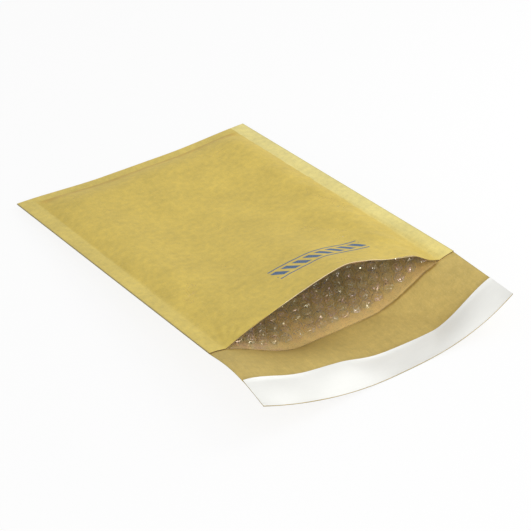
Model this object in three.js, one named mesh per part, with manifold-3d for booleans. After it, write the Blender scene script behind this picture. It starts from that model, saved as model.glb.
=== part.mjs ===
// A padded mailing envelope, lying on its back with its mouth propped open and its flap out flat.
// One kraft sheet is folded at the closed end and makes the front panel, the back panel and the
// flap. A pouch of bubble film lines both panels, and a peel-off strip covers the glue on the flap.
// Millimetres, +Z up. The closed end points to +Y, the mouth and the flap to -Y, X runs across.
import * as THREE from "three";
import { mergeVertices } from "three/addons/utils/BufferGeometryUtils.js";
import Module from "manifold-3d";

const wasm = await Module();
wasm.setup();

// Flat sizes of the envelope
const WIDTH = 200;
const LENGTH = 270;
const FLAP_LENGTH = 60;
const SIDE_SEAM = 12;
const END_SEAM = 8;

// Paper and bubble film
const PAPER_THICKNESS = 0.25;
const FILM_THICKNESS = 0.4;
const BUBBLE_HEIGHT = 3.6;
const BUBBLE_PITCH = 12;
const BUBBLE_SLIT = 0.5;
const CLEARANCE = 0.3;

// Closing strip on the inside of the flap
const STRIP_WIDTH = 22;
const STRIP_THICKNESS = 0.2;
const STRIP_MARGIN = 0.6;
const GLUE_THICKNESS = 0.3;
const GLUE_MARGIN = 2;

// How the padding swells between the seams
const PADDING_RISE = 8;
const SHOULDER_WIDTH = 22;
const SHOULDER_POWER = 2.2;

// How the back panel rests flat along its middle while both long edges lift towards the mouth
const REST_WIDTH = 55;
const LIP_AT_END = 3;
const LIP_AT_MOUTH_LEFT = 25;
const LIP_AT_MOUTH_RIGHT = 23.5;
const EDGE_ROLL_RIGHT = 2.5;
const EDGE_DRAW_IN = 4;

// How the flap springs up on its left, lies down on its right and curls along its end
const LIP_AT_FLAP_LEFT = 23;
const LIP_AT_FLAP_RIGHT = 22.5;
const FLAP_HUMP_LEFT = 4.5;
const FLAP_CURL_LEFT = 1.9;
const FLAP_CURL_RIGHT = 2.9;
const FLAP_CURL_START = 3;
const FLAP_REST_RIGHT = 24;
const BULGE_HEIGHT = 10;
const BULGE_WIDTH = 27;
const BULGE_OFFSET = 33;

// How the front panel arches over the mouth
const CREST_HEIGHT = 45;
const CREST_OFFSET = 9;
const ARCH_POWER_LEFT = 1.32;
const ARCH_POWER_RIGHT = 1.45;
const OPENING_LENGTH = 180;
const OPENING_POWER = 1.6;
const MOUTH_PULL_BACK = 5;

// Steps of the folded sheet, and the distance over which its slope is measured
const SHOULDER_STEPS = 4;
const MIDDLE_STEPS = 14;
const LENGTH_STEPS = 10;
const FOLD_STEPS = 4;
const FLAP_STEPS = 4;
const SLOPE_STEP = 0.02;

const HALF_WIDTH = WIDTH / 2;
const SEAM_LINE = HALF_WIDTH - SIDE_SEAM;
const SEAM_STACK = 2 * (CLEARANCE + FILM_THICKNESS);
const FOLD_RADIUS = SEAM_STACK / 2;
const FOLD_ARC = Math.PI * FOLD_RADIUS;
const FLAP_END = LENGTH + FLAP_LENGTH;
const STRIP_START = FLAP_END - STRIP_WIDTH;
const STRIP_END = FLAP_END - STRIP_MARGIN;
const GLUE_START = STRIP_START + GLUE_MARGIN;
const GLUE_END = STRIP_END - GLUE_MARGIN;

const { clamp, lerp, smoothstep } = THREE.MathUtils;

const kraft = new THREE.MeshStandardMaterial({ color: 0xcfb967, roughness: 0.75, metalness: 0 });
const film = new THREE.MeshStandardMaterial({ color: 0xb9a98a, roughness: 0.2, metalness: 0 });
const glue = new THREE.MeshStandardMaterial({ color: 0xe6dfc4, roughness: 0.35, metalness: 0 });
const linerPaper = new THREE.MeshStandardMaterial({ color: 0xf2f2ec, roughness: 0.4, metalness: 0 });

// A rounded rise from 0 to 1 that starts with a crease and ends level
function shoulder(distance) {
  return 1 - (1 - clamp(distance / SHOULDER_WIDTH, 0, 1)) ** SHOULDER_POWER;
}

// How far along the flap a point is, from 0 at the mouth to 1 at the flap's end
function alongFlap(t) {
  return Math.max(0, (t - LENGTH) / FLAP_LENGTH);
}

// A wave that is 0 at both ends of the flap and 1 half-way along it
function flapWave(t) {
  return Math.sin(Math.PI * Math.min(alongFlap(t), 1));
}

// Height of the long edge above the middle of the back panel, t away from the closed end
function lipHeight(left, t) {
  const mouth = left ? LIP_AT_MOUTH_LEFT : LIP_AT_MOUTH_RIGHT;
  const end = left ? LIP_AT_FLAP_LEFT : LIP_AT_FLAP_RIGHT;
  const onFlap = alongFlap(t);
  if (onFlap === 0) return lerp(LIP_AT_END, mouth, t / LENGTH);
  return lerp(mouth, end, onFlap) + (left ? FLAP_HUMP_LEFT * flapWave(t) : 0);
}

// Inner side of the back panel and the flap, s across from the middle and t from the closed end
function backPoint(s, t) {
  const reach = Math.abs(s);
  const left = s < 0;
  const rest = REST_WIDTH / 2 + (left ? 0 : FLAP_REST_RIGHT * flapWave(t));
  const trough = smoothstep(reach, rest, HALF_WIDTH + (left ? 0 : EDGE_ROLL_RIGHT));
  const curl = (reach / HALF_WIDTH) ** (left ? FLAP_CURL_LEFT : FLAP_CURL_RIGHT);
  const profile = lerp(trough, curl, Math.min(alongFlap(t), 1) ** FLAP_CURL_START);
  const bulge = BULGE_HEIGHT * flapWave(t) * Math.exp(-(((s + BULGE_OFFSET) / BULGE_WIDTH) ** 2));
  const drawnIn = EDGE_DRAW_IN * clamp(t / LENGTH, 0, 1) / HALF_WIDTH;
  const height = PAPER_THICKNESS + lipHeight(left, t) * profile + bulge;
  return new THREE.Vector3(s * (1 - drawnIn), -t, height);
}

// Share of the arch's height at s across, 0 on both seam lines and 1 on the crest
function arch(s) {
  const left = s < CREST_OFFSET;
  const span = left ? SEAM_LINE + CREST_OFFSET : SEAM_LINE - CREST_OFFSET;
  const power = left ? ARCH_POWER_LEFT : ARCH_POWER_RIGHT;
  return 1 - clamp(Math.abs(s - CREST_OFFSET) / span, 0, 1) ** power;
}

// Inner side of the front panel: flat in the seams, padded in between, and arched at the mouth
function frontPoint(s, t) {
  const point = backPoint(s, t);
  const padding = PADDING_RISE * shoulder(SEAM_LINE - Math.abs(s)) * shoulder(t - END_SEAM);
  const shut = point.z + SEAM_STACK + padding;
  const opening = Math.max(0, 1 + (t - LENGTH) / OPENING_LENGTH) ** OPENING_POWER;
  const rise = arch(s);
  if (rise === 0) return point.setZ(shut);
  const leftSeam = backPoint(-SEAM_LINE, t).z;
  const rightSeam = backPoint(SEAM_LINE, t).z;
  const seam = SEAM_STACK + (s < CREST_OFFSET ? leftSeam : rightSeam);
  point.y += MOUTH_PULL_BACK * opening * rise;
  return point.setZ(lerp(shut, lerp(seam, CREST_HEIGHT, rise), opening));
}

// Inner side of the whole kraft sheet. u runs along it: -LENGTH is the front panel's mouth edge,
// 0 to FOLD_ARC goes round the closed fold, and the back panel and the flap follow.
function sheetPoint(s, u) {
  if (u <= 0) return frontPoint(s, -u);
  if (u >= FOLD_ARC) return backPoint(s, u - FOLD_ARC);
  const turn = u / FOLD_RADIUS;
  const point = backPoint(s, 0);
  point.y += FOLD_RADIUS * Math.sin(turn);
  point.z += FOLD_RADIUS * (1 + Math.cos(turn));
  return point;
}

// The same point moved square to the sheet, outwards for a positive offset
function offsetPoint(s, u, offset) {
  const sideways = sheetPoint(s + SLOPE_STEP, u).sub(sheetPoint(s - SLOPE_STEP, u));
  const lengthways = sheetPoint(s, u + SLOPE_STEP).sub(sheetPoint(s, u - SLOPE_STEP));
  return sheetPoint(s, u).addScaledVector(sideways.cross(lengthways).normalize(), offset);
}

// Values from one number to another in equal steps, without the last
function steps(from, to, count) {
  return Array.from({ length: count }, (_, k) => lerp(from, to, k / count));
}

// The two ways to split a four-sided face a, b, c, d: true takes the diagonal from a to c
const higherDiagonal = (a, b, c, d) => a.z + c.z > b.z + d.z;
const shorterDiagonal = (a, b, c, d) => a.distanceTo(c) < b.distanceTo(d);

// A box whose columns, rows and two sides are laid on a curved sheet by place(column, row, upper).
// Sheets that lie on each other are split alike, so that the gap between them stays even.
function bentBox(columns, rows, place, diagonal = higherDiagonal) {
  const box = new THREE.BoxGeometry(columns, rows, 1, columns, rows, 1);
  const position = box.attributes.position;
  for (let k = 0; k < position.count; k += 1) {
    const column = Math.round(position.getX(k) + columns / 2);
    const row = Math.round(position.getY(k) + rows / 2);
    const point = place(column, row, position.getZ(k) > 0);
    position.setXYZ(k, point.x, point.y, point.z);
  }
  const corner = (k) => new THREE.Vector3().fromBufferAttribute(position, k);
  for (let k = 0; k < box.index.count; k += 6) {
    const [a, b, d, , c] = box.index.array.slice(k, k + 6);
    if (diagonal(corner(a), corner(b), corner(c), corner(d))) {
      box.index.array.set([a, b, c, a, c, d], k);
    }
  }
  box.deleteAttribute("normal");
  box.deleteAttribute("uv");
  return box;
}

// Stations across the width and along a panel, closer together where the padding rises
const shoulderLine = SEAM_LINE - SHOULDER_WIDTH;
const halfStations = [...steps(SEAM_LINE, shoulderLine, SHOULDER_STEPS), shoulderLine];
const across = [
  -HALF_WIDTH,
  ...halfStations.map((s) => -s),
  ...steps(-shoulderLine, shoulderLine, MIDDLE_STEPS).slice(1),
  ...halfStations.toReversed(),
  HALF_WIDTH,
];
const shoulderEnd = END_SEAM + SHOULDER_WIDTH;
const along = [
  0,
  ...steps(END_SEAM, shoulderEnd, SHOULDER_STEPS),
  ...steps(shoulderEnd, LENGTH, LENGTH_STEPS),
  LENGTH,
];
const glueRows = [GLUE_START, (GLUE_START + GLUE_END) / 2, GLUE_END];
const flapRows = [
  ...steps(LENGTH, STRIP_START, FLAP_STEPS).slice(1),
  STRIP_START,
  ...glueRows,
  FLAP_END,
];

function solid(geometry) {
  const merged = mergeVertices(geometry);
  return new wasm.Manifold(new wasm.Mesh({
    numProp: 3,
    vertProperties: merged.attributes.position.array,
    triVerts: Uint32Array.from(merged.index.array),
  }));
}

function meshGeometry(manifold) {
  const { vertProperties, triVerts } = manifold.getMesh();
  const geometry = new THREE.BufferGeometry();
  geometry.setAttribute("position", new THREE.BufferAttribute(vertProperties, 3));
  geometry.setIndex(new THREE.BufferAttribute(triVerts, 1));
  geometry.computeVertexNormals();
  return geometry;
}

function named(name, geometry, material) {
  const mesh = new THREE.Mesh(geometry, material);
  mesh.name = name;
  return mesh;
}

// One sheet from the front panel's mouth edge, round the closed fold, to the end of the flap
function kraftEnvelope() {
  const route = [
    ...along.toReversed().map((t) => -t),
    ...steps(0, FOLD_ARC, FOLD_STEPS).slice(1),
    ...along.map((t) => FOLD_ARC + t),
    ...flapRows.map((t) => FOLD_ARC + t),
  ];
  const place = (column, row, upper) => (
    offsetPoint(across[column], route[row], upper ? PAPER_THICKNESS : 0)
  );
  const sheet = bentBox(across.length - 1, route.length - 1, place);
  return named("kraft_envelope", mergeVertices(sheet), kraft);
}

// A point inside the envelope, at a depth above the back panel or below the front panel
function insidePoint(s, t, depth, front) {
  return offsetPoint(s, front ? -t : FOLD_ARC + t, -depth);
}

// The outer body of the pouch, one clearance inside the paper all round
function pouchBody() {
  const rows = along.length - 1;
  const place = (column, row, front) => (
    insidePoint(across[column], along[rows - row], CLEARANCE, front)
  );
  return bentBox(across.length - 1, rows, place);
}

// The room inside the pouch, with a staggered bubble on every third point of a triangular lattice.
// It runs out through the mouth, past a flat edge with no bubbles, and thins to a slit where the
// films meet at the seams.
function pouchRoom() {
  const pastMouth = MOUTH_PULL_BACK + BUBBLE_PITCH / 2;
  const columns = Math.round(2 * SEAM_LINE / (BUBBLE_PITCH / Math.sqrt(3)));
  const rows = Math.round((LENGTH + pastMouth - END_SEAM) / (BUBBLE_PITCH / 2));
  const place = (column, row, front) => {
    const onEdge = column === 0 || column === columns || row === 0 || row === rows;
    const shift = onEdge ? 0 : (row % 2) / 2;
    const s = lerp(-SEAM_LINE, SEAM_LINE, (column + shift) / columns);
    const t = lerp(LENGTH + pastMouth, END_SEAM, row / rows);
    const bubble = !onEdge && column % 3 === row % 2 && t < LENGTH - BUBBLE_PITCH / 2;
    const room = frontPoint(s, t).z - backPoint(s, t).z;
    const slit = Math.min(BUBBLE_SLIT, room - 2 * CLEARANCE - FILM_THICKNESS);
    const depth = CLEARANCE + FILM_THICKNESS + (bubble ? BUBBLE_HEIGHT : 0);
    return insidePoint(s, t, Math.min(depth, (room - slit) / 2), front);
  };
  return bentBox(columns, rows, place, shorterDiagonal);
}

function bubbleLining() {
  const pouch = solid(pouchBody()).subtract(solid(pouchRoom()));
  return named("bubble_lining", meshGeometry(pouch), film);
}

// A strip laid on the inside of the flap over some of its rows, its underside at floor above it
function flapStrip(name, material, rows, sideMargin, floor, thickness) {
  const reach = HALF_WIDTH - sideMargin;
  const place = (column, row, upper) => {
    const s = clamp(across[column], -reach, reach);
    return insidePoint(s, rows.at(-1 - row), floor + (upper ? thickness : 0), false);
  };
  const strip = bentBox(across.length - 1, rows.length - 1, place);
  return named(name, mergeVertices(strip), material);
}

function adhesiveStrip() {
  return flapStrip("adhesive_strip", glue, glueRows, GLUE_MARGIN, CLEARANCE, GLUE_THICKNESS);
}

function releaseStrip() {
  const rows = [STRIP_START, ...glueRows, STRIP_END];
  const floor = CLEARANCE + GLUE_THICKNESS + CLEARANCE;
  return flapStrip("release_strip", linerPaper, rows, 0, floor, STRIP_THICKNESS);
}

const envelope = new THREE.Group();
envelope.add(kraftEnvelope(), bubbleLining(), adhesiveStrip(), releaseStrip());

// The origin is the middle of the envelope's outline, on the surface that it rests on
const outline = new THREE.Box3().setFromObject(envelope);
const middle = outline.getCenter(new THREE.Vector3());
envelope.position.set(-middle.x, -middle.y, -outline.min.z);

export default envelope;
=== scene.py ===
"""A kraft padded envelope lying on its back, its mouth propped open and its flap out flat.

The kraft sheet, the bubble film inside it, the glue and the release strip are all laid on one
folded surface. Metres, +Z up: the closed end points to +Y, the mouth and the flap to -Y.
"""

import math
from functools import partialmethod

import bmesh
import bpy
import numpy as np
from bpy.props import FloatProperty, FloatVectorProperty, IntProperty, PointerProperty
from mathutils import Matrix, Vector


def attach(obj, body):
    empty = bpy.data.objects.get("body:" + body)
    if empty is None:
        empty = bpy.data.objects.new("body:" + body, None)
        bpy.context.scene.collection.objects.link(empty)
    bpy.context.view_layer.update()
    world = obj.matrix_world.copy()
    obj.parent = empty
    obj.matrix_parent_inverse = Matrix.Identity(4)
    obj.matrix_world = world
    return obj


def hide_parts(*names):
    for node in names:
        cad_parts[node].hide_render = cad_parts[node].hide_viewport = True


bl_info = {
    "name": "Padded Envelope",
    "version": (1, 0, 0),
    "blender": (4, 5, 0),
    "location": "View3D > Sidebar > Envelope",
    "description": "Builds an open kraft padded envelope with its bubble film and closing strip",
    "category": "Add Mesh",
}

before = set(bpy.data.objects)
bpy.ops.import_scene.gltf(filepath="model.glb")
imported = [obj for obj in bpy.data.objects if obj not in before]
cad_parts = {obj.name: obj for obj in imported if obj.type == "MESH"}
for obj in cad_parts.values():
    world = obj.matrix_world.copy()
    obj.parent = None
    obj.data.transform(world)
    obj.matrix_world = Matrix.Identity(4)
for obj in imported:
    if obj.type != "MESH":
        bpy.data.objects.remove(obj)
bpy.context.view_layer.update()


def factor(name, default, description, **extra):
    return FloatProperty(name=name, default=default, description=description, **extra)


def distance(name, default, description):
    return factor(name, default, description, unit="LENGTH", precision=5)


def angle(name, degrees, description):
    return factor(name, math.radians(degrees), description, subtype="ANGLE")


def colour(name, red, green, blue, description):
    """A colour property, given as the 0 to 255 values that it shows on a screen."""
    default = linear_colour(red, green, blue)
    return FloatVectorProperty(
        name=name, default=default, description=description, subtype="COLOR", min=0, max=1
    )


def linear_colour(red, green, blue):
    shares = [value / 255 for value in (red, green, blue)]
    return [s / 12.92 if s <= 0.04045 else ((s + 0.055) / 1.055) ** 2.4 for s in shares]


# Settings


class EnvelopeShape(bpy.types.PropertyGroup):
    """Flat sizes of the envelope and the shape that its panels take."""

    width: distance("Width", 0.2, "Across the envelope, seams included")
    length: distance("Length", 0.27, "From the closed end to the mouth")
    flap_length: distance("Flap length", 0.06, "From the mouth to the flap's end")
    side_seam: distance("Side seam", 0.012, "Width of the flat seam down each long side")
    end_seam: distance("End seam", 0.008, "Width of the flat band along the closed end")
    seam_gap: distance("Seam gap", 0.0006, "Between the two papers in a seam, filled with film")
    origin: distance("Closed end", 0.16453, "Where the closed end lies along Y")

    padding_rise: distance("Padding rise", 0.0088, "Height of the padding between the seams")
    shoulder_width: distance("Shoulder width", 0.022, "How far the padding takes to rise")
    shoulder_power: factor("Shoulder power", 2.2, "How sharply the padding rises")
    soft_shoulder_width: distance("Soft shoulder width", 0.031, "The same, left and at the end")
    soft_shoulder_power: factor("Soft shoulder power", 1.85, "How sharply it rises there")

    rest_width: distance("Rest width", 0.055, "Width of the middle that lies flat")
    lip_end: distance("Lip, closed end", 0.003, "Height of the long edges at the closed end")
    lip_mouth_left: distance("Lip, mouth left", 0.025, "Height of the left edge at the mouth")
    lip_mouth_right: distance("Lip, mouth right", 0.0235, "Height of the right edge there")
    lip_flap_left: distance("Lip, flap left", 0.023, "Height of the flap's left end corner")
    lip_flap_right: distance("Lip, flap right", 0.0225, "Height of its right end corner")
    edge_roll: distance("Edge roll", 0.0025, "How far past the right edge its slope would end")
    edge_draw_in: distance("Edge draw-in", 0.004, "How far the long edges come in at the mouth")

    flap_hump: distance("Flap hump", 0.0045, "Extra height of the flap's left edge")
    flap_curl_left: factor("Flap curl, left", 1.9, "Power of the end's curl on the left")
    flap_curl_right: factor("Flap curl, right", 2.9, "Power of the end's curl on the right")
    flap_curl_start: factor("Flap curl start", 3.0, "How late along the flap the curl sets in")
    flap_rest: distance("Flap rest", 0.024, "How much wider the flap rests on its right")
    bulge_height: distance("Bulge height", 0.01, "Height of the soft bulge across the flap")
    bulge_width: distance("Bulge width", 0.027, "Reach of that bulge")
    bulge_offset: distance("Bulge offset", 0.033, "Distance of that bulge left of the middle")

    crest_height: distance("Crest height", 0.045, "Height of the mouth's highest point")
    crest_offset: distance("Crest offset", 0.009, "Distance of that point right of the middle")
    arch_power_left: factor("Arch power, left", 1.32, "Fullness of the arch on the left")
    arch_power_right: factor("Arch power, right", 1.45, "Fullness of the arch on the right")
    opening_length: distance("Opening length", 0.18, "How far in from the mouth it is propped")
    opening_power: factor("Opening power", 1.6, "How quickly the mouth opens")
    mouth_pull_back: distance("Mouth pull-back", 0.005, "How far the crest draws back")


class PaperSettings(bpy.types.PropertyGroup):
    """Thickness, relief and finish of the kraft paper."""

    thickness: distance("Thickness", 0.00025, "Thickness of the kraft paper")
    imprint: distance("Bubble imprint", 0.00009, "How far the bubbles show through the paper")
    ripple: distance("Ripple", 0.00035, "Height of the slow waves in the panels")
    crease: distance("Crease", 0.0004, "Height of the small creases along the seams")
    pucker: distance("Pucker", 0.0004, "Height of the puckers at the left mouth corner")
    seed: IntProperty(name="Seed", default=7, description="Where the small creases fall")
    outside: colour("Outside", 218, 192, 94, "Colour of the paper's outer side")
    # Partly the sealed seam's own paler colour, partly painted sheen: the right seam is made far
    # paler than the left.
    pressed: colour("Pressed", 238, 223, 142, "Colour of the outer side along the right seam")
    inside: colour("Inside", 200, 175, 102, "Colour of its inner side, seen on the flap")
    # Much brighter than the same paper on the flap: painted light that makes up for the shade
    # inside the pouch, behind the film.
    lined: colour("Lined", 255, 222, 142, "Colour of its inner side where film is stuck to it")
    cut_edge: colour("Cut edge", 168, 154, 104, "Colour of the cut edges down the long sides")
    # Much paler than the other cut edges: a painted highlight along the mouth's edge.
    mouth_edge: colour("Mouth edge", 240, 222, 184, "Colour of the cut edge along the mouth")
    # Painted shadow: the mouth's edge darkened near its corners, where the front panel's lifted
    # edge shades it.
    corner_edge: colour("Corner edge", 124, 98, 58, "The same near the mouth's two corners")
    # Greyer than the other cut edges: painted shade on the flap's end edge.
    flap_edge: colour("Flap edge", 160, 158, 140, "Colour of the cut edge along the flap's end")
    strip_side: colour("Strip side", 222, 220, 210, "The same beside the strip's two ends")
    print_ink: colour("Print", 46, 96, 146, "Colour of the printed bars")


class FilmSettings(bpy.types.PropertyGroup):
    """The clear film and its bubbles."""

    thickness: distance("Thickness", 0.00018, "Thickness of the flat film")
    gap: distance("Gap", 0.00008, "Between the film and the paper behind it")
    inset: distance("Inset", 0.0001, "How far the film's edge stays inside the mouth")
    pitch: distance("Pitch", 0.0096, "Distance between neighbouring bubbles")
    radius: distance("Bubble radius", 0.0041, "Radius of a bubble's foot")
    height: distance("Bubble height", 0.0034, "Height of a full bubble")
    smallest: distance("Smallest bubble", 0.0009, "Height below which a bubble is left out")
    tint: colour("Tint", 240, 226, 200, "Colour of the film where it catches light")
    # Painted shade: dark, so that the film's edges show as shadow lines along the mouth and the
    # flap's fold.
    cut_edge: colour("Cut edge", 112, 86, 52, "Colour of the film's cut edges")
    opacity: factor("Opacity", 0.04, "How much the flat film hides where it is seen square on")
    bubble_opacity: factor("Bubble opacity", 0.05, "The same for the bubbles")


class StripSettings(bpy.types.PropertyGroup):
    """The glue on the flap and the release strip over it."""

    width: distance("Width", 0.022, "Width of the release strip")
    thickness: distance("Thickness", 0.00014, "Thickness of the release strip")
    margin: distance("Margin", 0.0001, "Between the strip and the flap's end")
    glue_thickness: distance("Glue thickness", 0.00012, "Thickness of the glue")
    glue_margin: distance("Glue margin", 0.0003, "How far the glue stays inside the strip")
    gap: distance("Gap", 0.00004, "Between one layer and the next")
    lift: distance("Lift", 0.0007, "How far the strip's inner edge has come away")
    white: colour("White", 236, 236, 231, "Colour of the release strip")
    cut_edge: colour("Cut edge", 226, 224, 212, "Colour of the release strip's cut edges")
    glue: colour("Glue", 226, 214, 176, "Colour of the glue")


class StageSettings(bpy.types.PropertyGroup):
    """Camera, lamps, world and floor."""

    azimuth: angle("Azimuth", -31.537, "Direction of the camera round the envelope")
    elevation: angle("Elevation", 33.721, "Angle of the camera above the floor")
    roll: angle("Roll", -3.273, "Tilt of the camera about its own axis")
    camera_distance: distance("Distance", 1.0752, "From the camera to its target")
    target: FloatVectorProperty(
        name="Target",
        default=(0.00509, -0.01217, 0.0),
        description="Point that the camera looks at",
        subtype="TRANSLATION",
        unit="LENGTH",
    )
    lens: factor("Lens", 104.91, "Focal length in millimetres")
    sky: factor("Sky", 0.63, "Strength of the even light from all round")
    key_power: factor("Key power", 1.6, "Power in watts of the lamp on the right")
    side_power: factor("Side power", 4.5, "Power in watts of the low lamp on the left")
    fill_power: factor("Fill power", 0.35, "Power in watts of the low lamp before the mouth")
    glint_power: factor("Glint power", 0.35, "Power in watts of the small lamp")
    floor_white: factor("Floor white", 0.88, "How far the floor is kept white in its shadows")


# The folded sheet

# Small waves of the mouth's edge: how far across, how wide and how high
MOUTH_WAVES = (
    (0.016, 0.006, 0.0005),
    (0.043, 0.009, -0.0009),
    (0.066, 0.007, 0.0013),
    (0.080, 0.006, -0.0013),
)


def smoothstep(value, low, high):
    share = np.clip((value - low) / (high - low), 0, 1)
    return share * share * (3 - 2 * share)


def lerp(start, end, share):
    return start + (end - start) * share


class FoldedSheet:
    """The kraft sheet's inner side as a surface of points across s and along u, in metres.

    u is minus the length at the front panel's mouth edge and 0 at the closed end. From there it
    goes round the fold, down the back panel and out along the flap.
    """

    STEP = 0.00002

    def __init__(self, shape, floor):
        self.shape = shape
        self.floor = floor
        self.half = shape.width / 2
        self.seam_line = self.half - shape.side_seam
        self.fold_radius = shape.seam_gap / 2
        self.fold_arc = math.pi * self.fold_radius
        self.flap_end = shape.length + shape.flap_length

    def shoulder(self, reach, soft):
        """A rounded rise from 0 to 1 that starts with a crease and ends level."""
        shape = self.shape
        width = np.where(soft, shape.soft_shoulder_width, shape.shoulder_width)
        power = np.where(soft, shape.soft_shoulder_power, shape.shoulder_power)
        return 1 - (1 - np.clip(reach / width, 0, 1)) ** power

    def padded(self, s, t):
        """Share of the padding's full height."""
        sides = self.shoulder(self.seam_line - np.abs(s), s < 0)
        return sides * self.shoulder(t - self.shape.end_seam, True)

    def along_flap(self, t):
        return np.maximum(0, (t - self.shape.length) / self.shape.flap_length)

    def lip(self, left, t):
        """Height of the long edge above the middle, t away from the closed end."""
        shape = self.shape
        mouth = np.where(left, shape.lip_mouth_left, shape.lip_mouth_right)
        end = np.where(left, shape.lip_flap_left, shape.lip_flap_right)
        on_flap = self.along_flap(t)
        hump = shape.flap_hump * np.sin(np.pi * np.minimum(on_flap, 1))
        panel = lerp(shape.lip_end, mouth, np.minimum(t / shape.length, 1))
        return np.where(on_flap > 0, lerp(mouth, end, on_flap) + np.where(left, hump, 0), panel)

    def back(self, s, t):
        """The back panel and the flap."""
        shape = self.shape
        reach = np.abs(s)
        left = s < 0
        share = np.minimum(self.along_flap(t), 1)
        wave = np.sin(np.pi * share)
        rest = shape.rest_width / 2 + np.where(left, 0, shape.flap_rest * wave)
        trough = smoothstep(reach, rest, self.half + np.where(left, 0, shape.edge_roll))
        power = np.where(left, shape.flap_curl_left, shape.flap_curl_right)
        profile = lerp(trough, (reach / self.half) ** power, share**shape.flap_curl_start)
        spread = np.exp(-(((s + shape.bulge_offset) / shape.bulge_width) ** 2))
        drawn_in = shape.edge_draw_in * np.clip(t / shape.length, 0, 1) / self.half
        height = self.lip(left, t) * profile + shape.bulge_height * wave * spread
        return np.stack([s * (1 - drawn_in), shape.origin - t, height], axis=-1)

    def arch(self, s):
        """Share of the arch's height, 0 on both seam lines and 1 on the crest."""
        shape = self.shape
        crest = shape.crest_offset
        span = self.seam_line + np.where(s < crest, crest, -crest)
        power = np.where(s < crest, shape.arch_power_left, shape.arch_power_right)
        return 1 - np.clip(np.abs(s - crest) / span, 0, 1) ** power

    def front(self, s, t):
        """The front panel: flat in the seams, padded in between and arched at the mouth."""
        shape = self.shape
        point = self.back(s, t)
        padding = shape.padding_rise * self.padded(s, t)
        shut = point[..., 2] + shape.seam_gap + padding
        inwards = (shape.length - t) / shape.opening_length
        opening = np.maximum(0, 1 - inwards) ** shape.opening_power
        rise = self.arch(s)
        edge = np.where(s < shape.crest_offset, -self.seam_line, self.seam_line)
        seam = shape.seam_gap + self.back(edge, t)[..., 2]
        arched = lerp(seam, shape.crest_height, rise)
        for centre, width, height in MOUTH_WAVES:
            arched = arched + opening * height * np.exp(-(((s - centre) / width) ** 2))
        point[..., 1] += shape.mouth_pull_back * opening * rise
        point[..., 2] = np.where(rise > 0, lerp(shut, arched, opening), shut)
        return point

    def point(self, s, u):
        s, u = np.broadcast_arrays(np.asarray(s, float), np.asarray(u, float))
        turn = np.clip(u / self.fold_radius, 0, math.pi)
        fold = self.back(s, np.zeros_like(u))
        fold[..., 1] += self.fold_radius * np.sin(turn)
        fold[..., 2] += self.fold_radius * (1 + np.cos(turn))
        front = self.front(s, np.maximum(-u, 0))
        back = self.back(s, np.maximum(u - self.fold_arc, 0))
        on_front = (u <= 0)[..., None]
        on_back = (u >= self.fold_arc)[..., None]
        return np.where(on_front, front, np.where(on_back, back, fold))

    def slopes(self, s, u):
        """Steps across and along the surface, and its outward normal."""
        across = self.point(s + self.STEP, u) - self.point(s - self.STEP, u)
        along = self.point(s, u + self.STEP) - self.point(s, u - self.STEP)
        normal = np.cross(across, along)
        return across, along, normal / np.linalg.norm(normal, axis=-1, keepdims=True)

    def offset(self, s, u, height):
        """The point moved square to the sheet, outwards for a positive height."""
        normal = self.slopes(s, u)[2]
        return self.point(s, u) + normal * np.asarray(height)[..., None]

    def laid(self, s, u, height):
        """The same, lifted by the paper that lies between it and the floor."""
        point = self.offset(s, u, height)
        point[..., 2] += self.floor
        return point

    def depth(self, s, u):
        """Distance t from the closed end."""
        return np.where(u <= 0, -u, np.maximum(u - self.fold_arc, 0))


# Relief of the paper

# Distance from one row of bubbles to the next, in pitches
ROW_STEP = math.sqrt(3) / 2
# Slow waves in the panels: how fast across and along, phase and share of the height
SLOW_WAVES = (
    (61, 38, 0.7, 1.0),
    (104, -71, 2.1, 0.7),
    (33, 142, 4.0, 0.5),
    (190, 120, 1.1, 0.35),
)
BACK_RIPPLE = 0.25
# Puckers round the left mouth corner: how close together, and the ring that they lie in
PUCKER_RATE, PUCKER_RING, PUCKER_REACH = 17, 0.013, 0.008
# Long soft creases of the propped front panel: start and end as s and u, width, share of height
PANEL_CREASES = (
    ((0.018, -0.060), (0.078, -0.236), 0.0065, 1.2),
    ((0.050, -0.050), (0.082, -0.190), 0.0050, -1.0),
    ((0.052, -0.196), (0.086, -0.262), 0.0062, 2.6),
    ((0.040, -0.180), (0.080, -0.236), 0.0056, -2.4),
    ((0.050, -0.150), (0.087, -0.206), 0.0050, 1.6),
    ((0.062, -0.236), (0.085, -0.268), 0.0034, -1.1),
    ((-0.046, -0.200), (-0.082, -0.258), 0.0052, 1.4),
    ((-0.056, -0.176), (-0.086, -0.226), 0.0046, -1.1),
    ((0.058, -0.110), (0.086, -0.146), 0.0042, 1.1),
    ((0.056, -0.070), (0.086, -0.096), 0.0040, -1.0),
)


def crease(s, u, start, end, width):
    """A rounded ridge from start to end, 1 high half-way and fading out to both ends."""
    start, end = np.asarray(start), np.asarray(end)
    run = end - start
    share = np.clip(((s - start[0]) * run[0] + (u - start[1]) * run[1]) / (run @ run), 0, 1)
    away = np.hypot(s - start[0] - share * run[0], u - start[1] - share * run[1])
    return np.exp(-((away / width) ** 2)) * np.sin(np.pi * lerp(0.12, 0.88, share))


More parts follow.
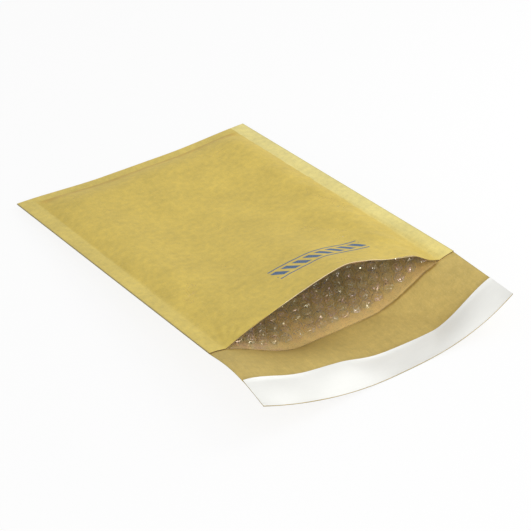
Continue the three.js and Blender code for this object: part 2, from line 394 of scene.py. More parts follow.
def seam_creases(sheet, paper):
    """Small creases that run from the seams and the closed end into the padding."""
    random = np.random.default_rng(paper.seed)
    creases = []
    for side, strength, pitch in ((-1, 0.25, 0.014), (1, 1.0, 0.0095)):
        t = 0.016
        while t < sheet.shape.length - 0.02:
            reach = random.uniform(0.006, 0.017)
            slant = random.uniform(-0.004, 0.007)
            start = (side * (sheet.seam_line + 0.001), -t)
            end = (side * (sheet.seam_line - reach), -t - slant)
            height = strength * random.uniform(0.3, 1.0) * random.choice([-1, 1, 1])
            creases.append((start, end, random.uniform(0.0022, 0.0038), height * paper.crease))
            t += pitch * random.uniform(0.6, 1.5)
    s = -sheet.seam_line + 0.01
    while s < sheet.seam_line - 0.008:
        reach = random.uniform(0.006, 0.014)
        start = (s, -sheet.shape.end_seam)
        end = (s + random.uniform(-0.004, 0.004), -sheet.shape.end_seam - reach)
        height = random.uniform(0.25, 0.8) * random.choice([-1, 1])
        creases.append((start, end, random.uniform(0.0024, 0.0038), height * paper.crease))
        s += random.uniform(0.007, 0.017)
    return creases


def relief(sheet, paper, film, s, u):
    """How far the paper stands out from its plain folded shape."""
    t = sheet.depth(s, u)
    length = sheet.shape.length
    on_front = u <= 0
    padded = np.where(t < length, sheet.padded(s, t), 0)

    waves = sum(
        share * np.sin(across * s + along * t + phase)
        for across, along, phase, share in SLOW_WAVES
    )
    height = paper.ripple * waves * np.where(on_front, padded, BACK_RIPPLE * padded)

    step = film.pitch * ROW_STEP
    row = np.round(t / step)
    shift = (row % 2) / 2
    column = np.round(s / film.pitch - shift) + shift
    away = np.hypot(s - column * film.pitch, t - row * step)
    dome = np.maximum(0, 1 - (away / film.radius) ** 2) ** 2
    height += paper.imprint * dome * padded

    soft = [(*line, share * paper.crease) for *line, share in PANEL_CREASES]
    for start, end, width, strength in seam_creases(sheet, paper) + soft:
        height += np.where(on_front, strength * crease(s, u, start, end, width), 0)

    corner_s, corner_t = s + sheet.seam_line, length - t
    away = np.hypot(corner_s, corner_t) - PUCKER_RING
    turn = np.arctan2(corner_t, np.maximum(corner_s, 0))
    ridges = np.cos(PUCKER_RATE * turn + 0.4) * np.exp(-((away / PUCKER_REACH) ** 2))
    height += np.where(on_front & (corner_s > 0), paper.pucker * ridges, 0)
    return height


# Meshes


def spread(*stations):
    """Numbers from each station to the next in the given count of equal steps."""
    parts = [
        np.linspace(start, end, count, endpoint=False)
        for (start, count), (end, _) in zip(stations, stations[1:])
    ]
    return np.concatenate([*parts, [stations[-1][0]]])


def across_stations(sheet):
    """Where the columns of points lie across the sheet, closest over its shoulders."""
    edge, seam = sheet.half, sheet.seam_line
    level = seam - sheet.shape.shoulder_width
    return spread((-edge, 8), (-seam, 15), (-level, 74), (level, 15), (seam, 8), (edge, 0))


def along_stations(sheet, mouth, *counts):
    """Where the rows of points lie, from the front's mouth edge to the back's or the flap's end."""
    seam = sheet.shape.end_seam
    level = seam + sheet.shape.shoulder_width
    front = [-t for t in (mouth, level, seam, 0)]
    back = [sheet.fold_arc + t for t in (0, seam, level, mouth, sheet.flap_end)]
    return spread(*zip(front + back, counts))


def new_mesh(name, bm):
    for face in bm.faces:
        face.smooth = True
    mesh = bpy.data.meshes.new(name)
    bm.to_mesh(mesh)
    bm.free()
    return mesh


def move_points(mesh, points):
    mesh.vertices.foreach_set("co", points.astype(np.float32).ravel())
    mesh.update()


def add_object(name, data):
    thing = bpy.data.objects.new(name, data)
    bpy.context.scene.collection.objects.link(thing)
    return thing


def laid_grid(name, across, along, place):
    """A grid of len(across) by len(along) points that place(s, u) lays in space.

    Its UV map holds s and u in metres, and its open edges are sharp.
    """
    bm = bmesh.new()
    bmesh.ops.create_grid(
        bm, x_segments=len(across) - 1, y_segments=len(along) - 1, size=0.5, calc_uvs=False
    )
    for edge in bm.edges:
        edge.smooth = not edge.is_boundary
    mesh = new_mesh(name, bm)

    flat = np.empty(len(mesh.vertices) * 3, dtype=np.float32)
    mesh.vertices.foreach_get("co", flat)
    flat = flat.reshape(-1, 3)
    columns = np.rint((flat[:, 0] + 0.5) * (len(across) - 1)).astype(int)
    rows = np.rint((flat[:, 1] + 0.5) * (len(along) - 1)).astype(int)
    s, u = across[columns], along[rows]

    corners = np.empty(len(mesh.loops), dtype=np.int32)
    mesh.loops.foreach_get("vertex_index", corners)
    layer = mesh.uv_layers.new(name="UVMap")
    layer.uv.foreach_set("vector", np.stack([s, u], axis=-1)[corners].astype(np.float32).ravel())
    move_points(mesh, place(s, u))
    return add_object(name, mesh)


def thicken(piece, thickness):
    """Thicken a sheet inwards. Its inner side and its rim take its second and third material."""
    modifier = piece.modifiers.new("Thickness", "SOLIDIFY")
    modifier.thickness = thickness
    modifier.offset = -1
    modifier.material_offset = 1
    modifier.material_offset_rim = 2


def finish_piece(piece, slot, materials, *nodes):
    for material in materials:
        piece.data.materials.append(material)
    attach(piece, "root")
    if nodes:
        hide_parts(*nodes)


# Shader nodes


class Wire:
    """A node's output. Arithmetic on it and its other methods add nodes to the same tree."""

    def __init__(self, socket):
        self.socket = socket

    def into(self, kind, inputs, output=0, **settings):
        """One output of a new node."""
        return Wire(add_node(self.socket.id_data, kind, inputs, **settings).outputs[output])

    def calc(self, operation, *others, clamp=False):
        inputs = dict(enumerate((self, *others)))
        return self.into("ShaderNodeMath", inputs, operation=operation, use_clamp=clamp)

    __add__ = partialmethod(calc, "ADD")
    __sub__ = partialmethod(calc, "SUBTRACT")
    __mul__ = partialmethod(calc, "MULTIPLY")
    __truediv__ = partialmethod(calc, "DIVIDE")
    __lt__ = partialmethod(calc, "LESS_THAN")
    __gt__ = partialmethod(calc, "GREATER_THAN")
    __abs__ = partialmethod(calc, "ABSOLUTE")
    maximum = partialmethod(calc, "MAXIMUM")

    def scaled(self, factor, offset, clamp=False):
        """Times the factor, plus the offset."""
        return self.calc("MULTIPLY_ADD", factor, offset, clamp=clamp)

    def ramp(self, low, high, to_low=0.0, to_high=1.0):
        """A smooth step from one value at low to another at high."""
        inputs = {0: self, 1: low, 2: high, 3: to_low, 4: to_high}
        return self.into("ShaderNodeMapRange", inputs, interpolation_type="SMOOTHSTEP")

    def mix(self, first, second):
        """The first colour where this is 0 and the second where it is 1."""
        return self.into("ShaderNodeMix", {0: self, 6: first, 7: second}, 2, data_type="RGBA")

    def tinted(self, red, green, blue):
        """This colour with each channel multiplied."""
        tint = self.into("ShaderNodeCombineColor", {0: red, 1: green, 2: blue})
        inputs = {0: 1.0, 6: self, 7: tint}
        return self.into("ShaderNodeMix", inputs, 2, data_type="RGBA", blend_type="MULTIPLY")

    def split(self):
        """X and Y of this place."""
        parts = wires(add_node(self.socket.id_data, "ShaderNodeSeparateXYZ", {0: self}))
        return parts["X"], parts["Y"]

    def stretched(self, scale, turn=0.0):
        inputs = {"Vector": self, "Rotation": (0, 0, turn), "Scale": scale}
        return self.into("ShaderNodeMapping", inputs)

    def noise(self, scale, detail=2.0, roughness=0.5):
        inputs = {"Vector": self, "Scale": scale, "Detail": detail, "Roughness": roughness}
        return self.into("ShaderNodeTexNoise", inputs, "Fac")

    def bumps(self, distance):
        """The normal of a surface with this height."""
        return self.into("ShaderNodeBump", {"Height": self, "Distance": distance})


def wires(node):
    return {socket.name: Wire(socket) for socket in node.outputs}


def connect(sockets, values):
    """Link each wire to its socket, and set the plain values."""
    for key, value in values.items():
        if isinstance(value, Wire):
            sockets[key].id_data.links.new(value.socket, sockets[key])
        else:
            sockets[key].default_value = value


def add_node(tree, kind, inputs=None, **settings):
    node = tree.nodes.new(kind)
    for name, value in settings.items():
        setattr(node, name, value)
    connect(node.inputs, inputs or {})
    return node


def empty_tree(owner):
    owner.use_nodes = True
    owner.node_tree.nodes.clear()
    return owner.node_tree


def add_sockets(group, labels, direction):
    for label in labels:
        kind = label if label in ("Vector", "Color") else "Float"
        group.interface.new_socket(label, in_out=direction, socket_type=f"NodeSocket{kind}")


def use_group(build, place, **values):
    """Add a node group that all materials share. build works its outputs out from its inputs."""
    name = build.__name__.replace("_", " ").capitalize()
    inputs = {"Vector": place, **values}
    group = bpy.data.node_groups.get(name)
    if not group:
        group = bpy.data.node_groups.new(name, "ShaderNodeTree")
        add_sockets(group, inputs, "INPUT")
        given = wires(add_node(group, "NodeGroupInput"))
        outputs = build(*(given[label] for label in inputs))
        add_sockets(group, outputs, "OUTPUT")
        add_node(group, "NodeGroupOutput", outputs)
    return wires(add_node(place.socket.id_data, "ShaderNodeGroup", inputs, node_tree=group))


# Fibres of the kraft: their turn in radians and how rare they are, two pale and two dark
FIBRES = ((0.25, 0.735), (1.2, 0.745), (-0.7, 0.74), (2.0, 0.75))
PALE_FIBRE = (0.86, 0.74, 0.38, 1)
DARK_FIBRE = (0.36, 0.23, 0.06, 1)


def kraft_fibres(place, rgb, streaks):
    """Mottled, fibrous paper in a given colour."""
    blotch, cloud = place.noise(34, 3, 0.55), place.noise(210, 3, 0.6)
    grain = place.noise(1100, 2, 0.6)
    streak = place.stretched((620, 46, 1)).noise(1, 3, 0.6)
    threads = []
    for turn, rare in FIBRES:
        thread = place.stretched((2600, 330, 1), turn).noise(1, 1, 0.4)
        threads.append(thread.ramp(rare - 0.09, rare))
    pale, dark = threads[0].maximum(threads[1]), threads[2].maximum(threads[3])

    shade = blotch.scaled(0.34, 0.83) + cloud.scaled(0.42, -0.21) + grain.scaled(0.22, -0.11)
    shade = shade + (streak - 0.5) * streaks
    body = (pale * 0.22).mix(rgb.tinted(shade, shade, shade), PALE_FIBRE)
    return {
        "Color": (dark * 0.2).mix(body, DARK_FIBRE),
        "Roughness": cloud.scaled(0.16, 0.54) + grain * 0.08,
        "Height": grain.scaled(0.5, cloud * 1.2) + pale * 0.5 + streak * 0.3,
    }


def edge_wear(place, half_width, reach):
    """A broken band along the sheet's long edges, 1 at the edge and 0 further in."""
    inset = half_width - abs(place.split()[0])
    reach = reach * place.noise(420, 3).scaled(1.2, 0.2)
    return {"Mask": (inset / reach).scaled(-1.0, 1.0, clamp=True)}


def pressed_seams(place, seam_line, end_seam, length):
    """The bands heat-sealed flat along both sides and the closed end, 1 in the bands: partly the
    sealed paper's paler colour, partly painted sheen.

    The second mask is painted shade: the soft, darker line along the closed end's band, where the
    padding rises.
    """
    s, u = place.split()
    across, along = abs(s), abs(u)
    wander = place.noise(90, 3).scaled(0.003, -0.0015)

    to_mouth = along / length
    soft = to_mouth.ramp(0.35, 1.0, 0.0007, 0.006)
    # Painted sheen: the side bands are four times as strong on the right as on the left, and a
    # little weaker at the mouth.
    strength = s.ramp(-0.09, 0.09, 0.25, 1.0) * to_mouth.ramp(0.72, 1.0, 1.0, 0.72)
    side = (across - seam_line + wander).ramp(soft * -1.0, soft) * strength
    end = (end_seam - along + wander).ramp(-0.0008, 0.0008) * 0.15

    # Painted shade: a darker line just past the closed end's band, where the padding rises.
    past_band = along - end_seam + wander
    line = past_band.ramp(-0.0008, 0.0012) * past_band.ramp(0.002, 0.012, 1.0, 0.0)
    return {
        "Mask": side.maximum(end) * (along < length),
        "Crease": line * (seam_line - across).ramp(0.0, 0.006),
    }


# The printed band in metres: its middle as s and u, and half its length
PRINT_MIDDLE = (0.014, -0.2335)
PRINT_HALF_LENGTH = 0.0365
# Its bars: pitch, slant as a share of the height, and half their height
BAR_PITCH, BAR_SLANT, BAR_HALF_HEIGHT = 0.0091, 0.6, 0.005
# Its two rules: distance from the middle line, and half their thickness
RULE_OFFSET, RULE_HALF = 0.0083, 0.0008
INK_FADE = 0.0003


def printed_bars(place):
    """A short band of slanted bars with a thin rule on each side, 1 where there is ink."""
    s, u = place.split()
    across, along = s - PRINT_MIDDLE[0], u - PRINT_MIDDLE[1]
    phase = (along.scaled(BAR_SLANT, across) / BAR_PITCH).calc("FRACT")
    bar = abs(phase - 0.5).ramp(0.26, 0.3, 1.0, 0.0)
    tall = abs(along).ramp(BAR_HALF_HEIGHT - INK_FADE, BAR_HALF_HEIGHT, 1.0, 0.0)
    rule = abs(abs(along) - RULE_OFFSET).ramp(RULE_HALF - INK_FADE, RULE_HALF, 1.0, 0.0)
    ink = (bar * tall).maximum(rule) * (abs(across) < PRINT_HALF_LENGTH)
    worn = place.noise(1300).ramp(0.32, 0.5, 0.72, 0.95)
    return {"Mask": ink * worn}


# Coloured bands of the film, for red, green and blue: phase, swing and middle
FILM_BANDS = ((0.0, 0.08, 0.98), (2.1, 0.08, 0.92), (4.2, 0.12, 0.94))


def film_glints(place, rgb):
    """Faint coloured bands and fine crinkles of thin stretched film, with whitish spots that are
    partly crinkle whitening and partly painted glints.
    """
    turn = place.noise(60) * 25.0
    tint = [(turn + phase).calc("SINE").scaled(swing, mid) for phase, swing, mid in FILM_BANDS]
    # The threads and specks: partly crinkle whitening, partly painted glints.
    thread = abs(place.noise(380) - 0.5).ramp(0.01, 0.04, 1.0, 0.0)
    where = place.noise(300, 2, 0.6).ramp(0.5, 0.58)
    glint_specks = place.noise(900).ramp(0.58, 0.64)
    crinkle = place.noise(620, 3, 0.6)
    fine = place.stretched((1400, 600, 1400), 0.5).noise(1)
    return {
        "Color": rgb.tinted(*tint),
        "Roughness": crinkle.ramp(0.2, 0.8, 0.06, 0.2),
        "Height": crinkle + fine * 0.6,
        "Flecks": (thread * where).maximum(glint_specks),
    }


def coated_paper(place, rgb):
    """Smooth white paper with a faint cloud and a fine tooth."""
    cloud, tooth = place.noise(95, 4, 0.6), place.noise(2200)
    run = place.stretched((38, 1100, 1)).noise(1)
    shade = cloud.scaled(0.06, 0.95) + run * 0.03
    return {
        "Color": rgb.tinted(shade, shade, shade),
        "Roughness": cloud.ramp(0.25, 0.75, 0.3, 0.44),
        "Height": tooth.scaled(0.5, run * 0.6),
    }


# Materials

WORN_EDGE = (0.30, 0.25, 0.09, 1)
WEAR_REACH = 0.0013
# How high the surface's fine grain stands, in metres
KRAFT_GRAIN, CUT_GRAIN, COATED_GRAIN, FILM_CRINKLE = 0.00005, 0.00004, 0.00002, 0.0003
# Half the width of the painted shade line where the flap begins, and how far it wanders
FOLD_SHADE, FOLD_SHADE_WANDER = 0.0019, 0.0012
# The mouth's edge, from its middle as s to where the painted shadow in its corners starts and stops
# darkening
MOUTH_MIDDLE, CORNER_SHADOW_START, CORNER_SHADOW_END = 0.012, 0.05, 0.06


def new_material(name):
    """A material, its principled shader's inputs, and wires that hold places on the piece."""
    material = bpy.data.materials.new(name)
    tree = empty_tree(material)
    shader = add_node(tree, "ShaderNodeBsdfPrincipled")
    add_node(tree, "ShaderNodeOutputMaterial", {"Surface": Wire(shader.outputs["BSDF"])})
    return material, shader.inputs, wires(add_node(tree, "ShaderNodeTexCoord"))


def opaque(rgb):
    return (*rgb, 1.0)


def dimmed(rgb, *shares):
    return opaque([value * share for value, share in zip(rgb, shares)])


def outer_colour(where, paper, sheet):
    """Colour of the outer side: pale in the sealed bands, partly the paper's own colour and partly
    painted sheen, with a painted shade line past the closed end's band; and how much smoother the
    bands are.
    """
    shape = sheet.shape
    sizes = {"Side": sheet.seam_line, "End": shape.end_seam, "Length": shape.length}
    masks = use_group(pressed_seams, where, **sizes)
    # Painted shade along the closed end's band, where the padding rises.
    crease_shade = dimmed(paper.outside, 0.88, 0.79, 0.66)
    rgb = masks["Crease"].mix(opaque(paper.outside), crease_shade)
    # Pale sealed bands: partly the paper's own colour, partly painted sheen.
    return masks["Mask"].mix(rgb, opaque(paper.pressed)), masks["Mask"] * 0.14


def inner_colour(where, paper, sheet):
    """Colour of the inner side: brightened with painted light behind the mouth, where film is stuck
    to it, and with a painted shade line along the fold.
    """
    across, along = where.split()
    mouth = sheet.fold_arc + sheet.shape.length
    # Painted light: the paper behind the film is brightened against the pouch's shade.
    rgb = (along < mouth).mix(opaque(paper.inside), opaque(paper.lined))
    wander = where.noise(120, 3).scaled(2 * FOLD_SHADE_WANDER, -FOLD_SHADE_WANDER - mouth)
    # Painted shade along the fold, stronger on the right than the left.
    strength = across.ramp(0.0, 0.06, 0.3, 0.85)
    fold = abs(along + wander).ramp(0.0, FOLD_SHADE, strength, 0.0)
    between = abs(across).ramp(sheet.seam_line - 0.006, sheet.seam_line, 1.0, 0.0)
    return (fold * between).mix(rgb, dimmed(paper.inside, 0.56, 0.44, 0.28)), 0.0


def kraft_material(name, side_colour, paper, sheet, streaks, sheen, ink=None):
    material, target, place = new_material(name)
    where = place["UV"]
    rgb, smoother = side_colour(where, paper, sheet)
    fibres = use_group(kraft_fibres, where, Color=rgb, Streaks=streaks)
    wear = use_group(edge_wear, where, Width=sheet.half, Reach=WEAR_REACH)["Mask"]
    body = (wear * 0.45).mix(fibres["Color"], WORN_EDGE)
    if ink:
        body = use_group(printed_bars, where)["Mask"].mix(body, opaque(ink))
    connect(target, {
        "Base Color": body,
        "Roughness": fibres["Roughness"] - smoother,
        "Specular IOR Level": sheen,
        "Normal": fibres["Height"].bumps(KRAFT_GRAIN),
    })
    return material


def cut_edge_material(name, paper, sheet, strip_width):
    """Cut paper: a painted highlight along the mouth, painted shadow in the mouth's corners,
    painted shade along the flap's end, and pale beside the release strip.
    """
    material, target, place = new_material(name)
    across, along = place["UV"].split()
    # Painted highlight along the mouth, fading to painted shadow in its corners.
    corner = abs(across - MOUTH_MIDDLE).ramp(CORNER_SHADOW_START, CORNER_SHADOW_END)
    mouth = corner.mix(opaque(paper.mouth_edge), opaque(paper.corner_edge))
    on_mouth = along < 0.0005 - sheet.shape.length
    edge = on_mouth.mix(opaque(paper.cut_edge), mouth)
    on_side = abs(across) > sheet.half - 0.0001
    # Painted shade on the flap's end edge; the side edges beside the strip stay pale.
    flap = on_side.mix(opaque(paper.flap_edge), opaque(paper.strip_side))
    by_strip = along > sheet.fold_arc + sheet.flap_end - strip_width
    fibres = use_group(kraft_fibres, place["UV"], Color=by_strip.mix(edge, flap), Streaks=0.1)
    connect(target, {
        "Base Color": fibres["Color"],
        "Roughness": 0.85,
        "Normal": fibres["Height"].bumps(CUT_GRAIN),
    })
    return material


def film_material(name, rgb, opacity, fleck_glints, coordinates="UV"):
    """Clear film: hidden only at its rims and in its whitish spots, which are part metallic; the
    spots are partly crinkle whitening and partly painted glints.
    """
    material, target, place = new_material(name)
    glints = use_group(film_glints, place[coordinates], Color=opaque(rgb))
    view = wires(add_node(material.node_tree, "ShaderNodeLayerWeight", {"Blend": 0.5}))
    rim = view["Facing"].ramp(0.5, 1.0, opacity, 0.7)
    connect(target, {
        "Base Color": glints["Color"],
        "Roughness": glints["Roughness"],
        "IOR": 1.5,
        # Painted glints: the spots hide more of what is behind and are whitish even where no lamp
        # reflects in them.
        "Alpha": rim.maximum(glints["Flecks"] * fleck_glints),
        "Metallic": glints["Flecks"] * 0.55,
        "Coat Weight": 0.5,
        "Coat Roughness": 0.05,
        "Normal": glints["Height"].bumps(FILM_CRINKLE),
    })
    return material


def coated_material(name, rgb, roughness=None):
    material, target, place = new_material(name)
    coating = use_group(coated_paper, place["UV"], Color=opaque(rgb))
    connect(target, {
        "Base Color": coating["Color"],
        "Roughness": coating["Roughness"] if roughness is None else roughness,
        "Normal": coating["Height"].bumps(COATED_GRAIN),
    })
    return material


# Pieces

# Bubbles: columns to each side, distance from the mouth's edge, and how much of the room
# between the two films, less a clearance, each may fill
BUBBLE_COLUMNS = 12
BUBBLE_MOUTH_GAP = 0.0075
BUBBLE_ROOM, BUBBLE_CLEARANCE = 0.47, 0.0012
# A dome's bluntness: powers of its radius and its height
DOME_RADIUS_POWER, DOME_HEIGHT_POWER = 0.72, 0.8
# How far in from its inner and outer edge the release strip has come away
LOOSE_INNER, LOOSE_OUTER = 0.0035, 0.003


class EnvelopeOperator:
    """What the operators share."""

    bl_options = {"REGISTER", "UNDO"}

    def settings(self, context):
        scene = context.scene
        paper = scene.envelope_paper
        sheet = FoldedSheet(scene.envelope_shape, paper.thickness)
        return sheet, paper, scene.envelope_film, scene.envelope_strip

    def strip_ends(self, sheet, strip):
        """Where the release strip starts and ends along u."""
        end = sheet.fold_arc + sheet.flap_end - strip.margin
        return end - strip.width + strip.margin, end


class ENVELOPE_OT_kraft_sheet(EnvelopeOperator, bpy.types.Operator):
    """Fold the kraft sheet into the front panel, the back panel and the flap"""

    bl_idname = "envelope.kraft_sheet"
    bl_label = "Kraft Sheet"

    def execute(self, context):
        sheet, paper, film, strip = self.settings(context)

        def place(s, u):
            point = sheet.laid(s, u, relief(sheet, paper, film, s, u) + paper.thickness)
            point[..., 2] = np.maximum(point[..., 2], 0)
            return point

        along = along_stations(sheet, sheet.shape.length, 128, 13, 5, 6, 3, 6, 64, 36, 0)
        piece = laid_grid("kraft_sheet", across_stations(sheet), along, place)
        thicken(piece, paper.thickness)
        sides = [
            kraft_material("Kraft outside", outer_colour, paper, sheet, 0.1, 0.37, paper.print_ink),
            kraft_material("Kraft inside", inner_colour, paper, sheet, 0.2, 0.25),
            cut_edge_material("Kraft cut edge", paper, sheet, strip.width),
        ]
        finish_piece(piece, "kraft_paper", sides, "kraft_envelope")
        return {"FINISHED"}


class ENVELOPE_OT_film(EnvelopeOperator, bpy.types.Operator):
    """Line both panels with flat film"""

    bl_idname = "envelope.film"
    bl_label = "Lining Film"

    def execute(self, context):
        sheet, paper, film, _ = self.settings(context)

        def place(s, u):
            return sheet.laid(s, u, relief(sheet, paper, film, s, u) - film.gap)

        mouth = sheet.shape.length - film.inset
        along = along_stations(sheet, mouth, 110, 8, 3, 4, 3, 8, 80, 0)
        piece = laid_grid("lining_film", across_stations(sheet), along, place)
        thicken(piece, film.thickness)
        clear = film_material("Clear film", film.tint, film.opacity, 0.15)
        # Painted shade: the film's cut edges are coloured dark.
        edge = coated_material("Film cut edge", film.cut_edge, 0.4)
        finish_piece(piece, "bubble_film", [clear, clear, edge], "bubble_lining")
        return {"FINISHED"}


class ENVELOPE_OT_bubbles(EnvelopeOperator, bpy.types.Operator):
    """Raise staggered air bubbles on the inner side of the film"""

    bl_idname = "envelope.bubbles"
    bl_label = "Bubbles"

    def execute(self, context):
        sheet, _, film, _ = self.settings(context)
        domes = np.concatenate([self.domes(sheet, film, front) for front in (False, True)])
        template = self.bubble()
        bm = bmesh.new()
        for _ in domes:
            bm.from_mesh(template)
        mesh = new_mesh("bubbles", bm)
        local = np.array([vert.co for vert in template.vertices])
        move_points(mesh, np.einsum("vi,nij->nvj", local, domes[:, :3]) + domes[:, None, 3])
        bpy.data.meshes.remove(template)
        piece = add_object("bubbles", mesh)
        # Painted glints: on the bubbles the spots are nearly opaque.
        clear = film_material("Bubble film", film.tint, film.bubble_opacity, 0.8, "Object")
        finish_piece(piece, "bubble_film", [clear])
        return {"FINISHED"}

    def domes(self, sheet, film, front):
        """Three axes and the foot of each bubble on one panel."""
        s, t = self.lattice(sheet, film)
        u = -t if front else sheet.fold_arc + t
        room = sheet.front(s, t)[:, 2] - sheet.back(s, t)[:, 2]
        height = np.minimum(film.height, BUBBLE_ROOM * (room - BUBBLE_CLEARANCE))
        keep = height > film.smallest
        s, u, height = s[keep], u[keep], height[keep]
        foot = sheet.laid(s, u, -film.gap - 0.9 * film.thickness)
        across, _, normal = sheet.slopes(s, u)
        side = across / np.linalg.norm(across, axis=-1, keepdims=True)
        axes = (side * film.radius, np.cross(side, normal) * film.radius)
        return np.stack([*axes, -normal * height[:, None], foot], axis=1)

    def lattice(self, sheet, film):
        """Centres of a triangular lattice that keeps clear of the seams and the mouth edge."""
        step = film.pitch * ROW_STEP
        reach = sheet.seam_line - film.radius
        low = sheet.shape.end_seam + film.radius
        high = sheet.shape.length - BUBBLE_MOUTH_GAP
        places = []
        for row in range(math.ceil(low / step), math.floor(high / step) + 1):
            for column in range(-BUBBLE_COLUMNS, BUBBLE_COLUMNS + 1):
                s = (column + (row % 2) / 2) * film.pitch
                if abs(s) < reach:
                    places.append((s, row * step))
        return np.array(places).T

    def bubble(self):
        """A blunt dome of radius 1 and height 1."""
        bm = bmesh.new()
        bmesh.ops.create_uvsphere(bm, u_segments=12, v_segments=10, radius=1)
        low = [vert for vert in bm.verts if vert.co.z < -0.01]
        bmesh.ops.delete(bm, geom=low, context="VERTS")
        for vert in bm.verts:
            reach = math.hypot(vert.co.x, vert.co.y)
            if reach > 0.001:
                vert.co.xy *= reach**DOME_RADIUS_POWER / reach
            vert.co.z = max(vert.co.z, 0) ** DOME_HEIGHT_POWER
        return new_mesh("bubble", bm)


class ENVELOPE_OT_glue(EnvelopeOperator, bpy.types.Operator):
    """Lay the layer of glue on the inside of the flap"""

    bl_idname = "envelope.glue"
    bl_label = "Glue"

    def execute(self, context):
        sheet, _, _, strip = self.settings(context)
        start, end = self.strip_ends(sheet, strip)
        reach = sheet.half - strip.glue_margin

        def place(s, u):
            return sheet.laid(s, u, -strip.gap)

        along = spread((start + strip.glue_margin, 12), (end - strip.glue_margin, 0))
        piece = laid_grid("glue_layer", np.linspace(-reach, reach, 121), along, place)
        thicken(piece, strip.glue_thickness)
        glue = coated_material("Glue", strip.glue, 0.25)
        finish_piece(piece, "adhesive", [glue] * 3, "adhesive_strip")
        return {"FINISHED"}


class ENVELOPE_OT_release_strip(EnvelopeOperator, bpy.types.Operator):
    """Cover the glue with the release strip"""

    bl_idname = "envelope.release_strip"
    bl_label = "Release Strip"

    def execute(self, context):
        sheet, _, _, strip = self.settings(context)
        start, end = self.strip_ends(sheet, strip)
        floor = strip.gap + strip.glue_thickness + strip.gap

        def place(s, u):
            inner = np.clip(1 - (u - start) / LOOSE_INNER, 0, 1) ** 2
            outer = np.clip(1 - (end - u) / LOOSE_OUTER, 0, 1) ** 2
            loose = 0.6 + 0.4 * np.sin(70 * s + 1.0)
            waves = 0.00005 * (np.sin(160 * s + 300 * u) + np.sin(95 * s - 210 * u + 1.3))
            lift = strip.lift * (inner * loose + 0.1 * outer) + waves + 0.0001
            return sheet.laid(s, u, -floor - lift)

        across = np.linspace(-sheet.half, sheet.half, 161)
        piece = laid_grid("release_liner", across, spread((start, 20), (end, 0)), place)
        thicken(piece, strip.thickness)
        white = coated_material("Release paper", strip.white)
        edge = coated_material("Release paper edge", strip.cut_edge, 0.7)
        finish_piece(piece, "release_paper", [white, white, edge], "release_strip")
        return {"FINISHED"}


# Lamps: name, place and size. The stage settings hold their power
LAMPS = (
    ("key", (0.55, -0.15, 0.45), 0.4),
    ("side", (-0.45, -1.0, 0.22), 0.4),
    ("fill", (0.1, -1.2, 0.42), 0.5),
    ("glint", (0.1, -0.75, 0.7), 0.05),
)
FLOOR_RADIUS, FLOOR_DROP = 3, 0.0002


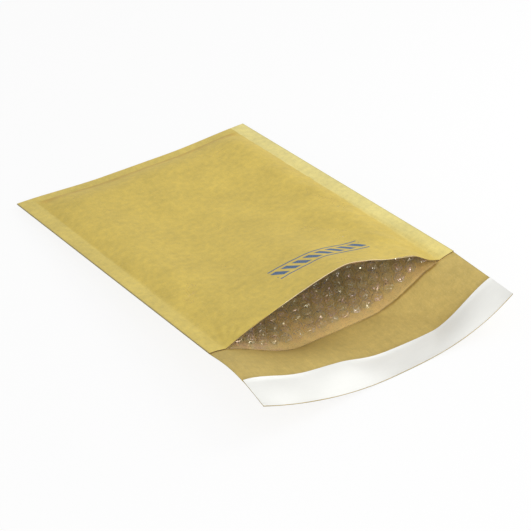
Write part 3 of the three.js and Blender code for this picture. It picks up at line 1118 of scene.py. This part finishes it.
class ENVELOPE_OT_stage(EnvelopeOperator, bpy.types.Operator):
    """Set up the camera, the lamps, the world and the floor"""

    bl_idname = "envelope.stage"
    bl_label = "Stage"

    def execute(self, context):
        scene, stage = context.scene, context.scene.envelope_stage
        scene.camera = self.camera(stage)
        for name, place, size in LAMPS:
            self.lamp(f"{name}_lamp", place, size, getattr(stage, f"{name}_power"))
        scene.world = self.world(stage)
        self.floor(stage)
        scene.view_settings.view_transform = "Standard"
        return {"FINISHED"}

    def camera(self, stage):
        turn, tilt = stage.azimuth, stage.elevation
        back = Vector(
            (math.sin(turn) * math.cos(tilt), -math.cos(turn) * math.cos(tilt), math.sin(tilt))
        )
        right = Vector((math.cos(turn), math.sin(turn), 0))
        axes = Matrix((right, back.cross(right), back)).transposed()
        axes = axes @ Matrix.Rotation(stage.roll, 3, "Z")
        data = bpy.data.cameras.new("camera")
        data.lens = stage.lens
        data.sensor_width = 36
        camera = add_object("camera", data)
        place = Vector(stage.target) + back * stage.camera_distance
        camera.matrix_world = Matrix.Translation(place) @ axes.to_4x4()
        return camera

    def lamp(self, name, place, size, power):
        data = bpy.data.lights.new(name, "AREA")
        data.size = size
        data.energy = power
        lamp = add_object(name, data)
        lamp.location = place
        lamp.rotation_euler = (-Vector(place)).to_track_quat("-Z", "Y").to_euler()

    def seen_directly(self, tree):
        """1 for rays from the camera, off glossy surfaces and through clear ones."""
        rays = wires(add_node(tree, "ShaderNodeLightPath"))
        seen = rays["Is Camera Ray"].maximum(rays["Is Glossy Ray"])
        return seen.maximum(rays["Is Transmission Ray"])

    def mix_shaders(self, share, first, second, output):
        inputs = {0: share, 1: Wire(first.outputs[0]), 2: Wire(second.outputs[0])}
        add_node(first.id_data, output, {"Surface": share.into("ShaderNodeMixShader", inputs)})

    def world(self, stage):
        """Even light all round, and plain white wherever it is seen directly or mirrored."""
        world = bpy.data.worlds.new("studio")
        tree = empty_tree(world)
        light, white = [
            add_node(tree, "ShaderNodeBackground", {"Color": (1, 1, 1, 1), "Strength": strength})
            for strength in (stage.sky, 1.0)
        ]
        self.mix_shaders(self.seen_directly(tree), light, white, "ShaderNodeOutputWorld")
        return world

    def floor(self, stage):
        """A pale floor. Seen directly it is part white, which leaves a light shadow on it."""
        bm = bmesh.new()
        bmesh.ops.create_circle(bm, cap_ends=True, segments=96, radius=FLOOR_RADIUS)
        mesh = new_mesh("floor", bm)
        mesh.transform(Matrix.Translation((0, 0, -FLOOR_DROP)))
        material = bpy.data.materials.new("Floor")
        tree = empty_tree(material)
        lit = add_node(tree, "ShaderNodeBsdfDiffuse", {"Color": (0.97, 0.97, 0.97, 1)})
        white = add_node(tree, "ShaderNodeEmission", {"Color": (1, 1, 1, 1), "Strength": 1.0})
        share = self.seen_directly(tree) * stage.floor_white
        self.mix_shaders(share, lit, white, "ShaderNodeOutputMaterial")
        mesh.materials.append(material)
        add_object("floor", mesh)


class ENVELOPE_PT_panel(bpy.types.Panel):
    """Buttons for the pieces and the stage"""

    bl_label = "Padded Envelope"
    bl_idname = "ENVELOPE_PT_panel"
    bl_space_type = "VIEW_3D"
    bl_region_type = "UI"
    bl_category = "Envelope"

    def draw(self, context):
        for operator in OPERATORS:
            self.layout.operator(operator.bl_idname)


SETTINGS = {
    "envelope_shape": EnvelopeShape,
    "envelope_paper": PaperSettings,
    "envelope_film": FilmSettings,
    "envelope_strip": StripSettings,
    "envelope_stage": StageSettings,
}
OPERATORS = (
    ENVELOPE_OT_kraft_sheet,
    ENVELOPE_OT_film,
    ENVELOPE_OT_bubbles,
    ENVELOPE_OT_glue,
    ENVELOPE_OT_release_strip,
    ENVELOPE_OT_stage,
)
CLASSES = (*SETTINGS.values(), *OPERATORS, ENVELOPE_PT_panel)


def register():
    for cls in CLASSES:
        bpy.utils.register_class(cls)
    for name, group in SETTINGS.items():
        setattr(bpy.types.Scene, name, PointerProperty(type=group))


def unregister():
    for name in SETTINGS:
        delattr(bpy.types.Scene, name)
    for cls in reversed(CLASSES):
        bpy.utils.unregister_class(cls)


def main():
    register()
    bpy.ops.envelope.kraft_sheet()
    bpy.ops.envelope.film()
    bpy.ops.envelope.bubbles()
    bpy.ops.envelope.glue()
    bpy.ops.envelope.release_strip()
    bpy.ops.envelope.stage()


if __name__ == "__main__":
    main()
